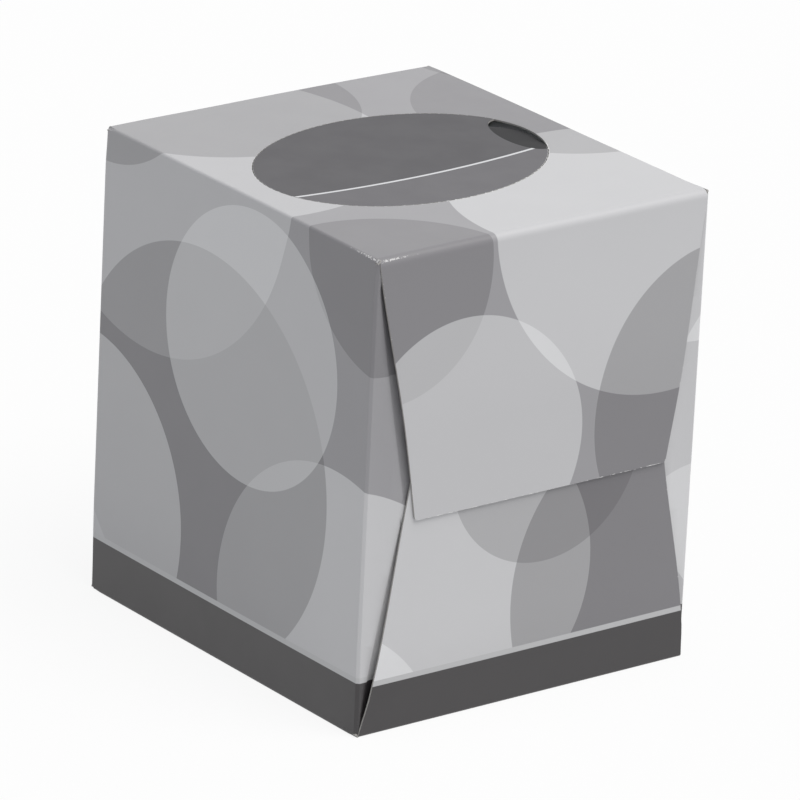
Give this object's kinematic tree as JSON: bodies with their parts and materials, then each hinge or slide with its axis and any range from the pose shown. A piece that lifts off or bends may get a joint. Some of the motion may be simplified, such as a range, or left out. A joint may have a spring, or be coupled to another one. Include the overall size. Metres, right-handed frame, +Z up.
{
  "type": "tissue box",
  "caption": "Closed cube carton of facial tissues: folded board with glued end flaps, a perforated oval in the top and a pressed-in thumb tab, full of folded tissues.",
  "frame": {"origin": "middle of the face that the carton stands on", "axes": "+Z up, X along the flap end, -Y towards the flap end that the picture shows"},
  "size_m": [0.103, 0.115, 0.126],
  "materials": {
    "coated_board": "satin coated board, printed in greys",
    "clear_film": "thin clear film",
    "tissue": "soft white tissue",
    "hot_melt": "translucent hot-melt glue"
  },
  "bodies": {
    "root": {"carton": "coated_board", "window_film": "clear_film", "tissue_stack": "tissue", "flap_glue": "hot_melt", "seam_glue": "hot_melt"}
  },
  "joints": []
}
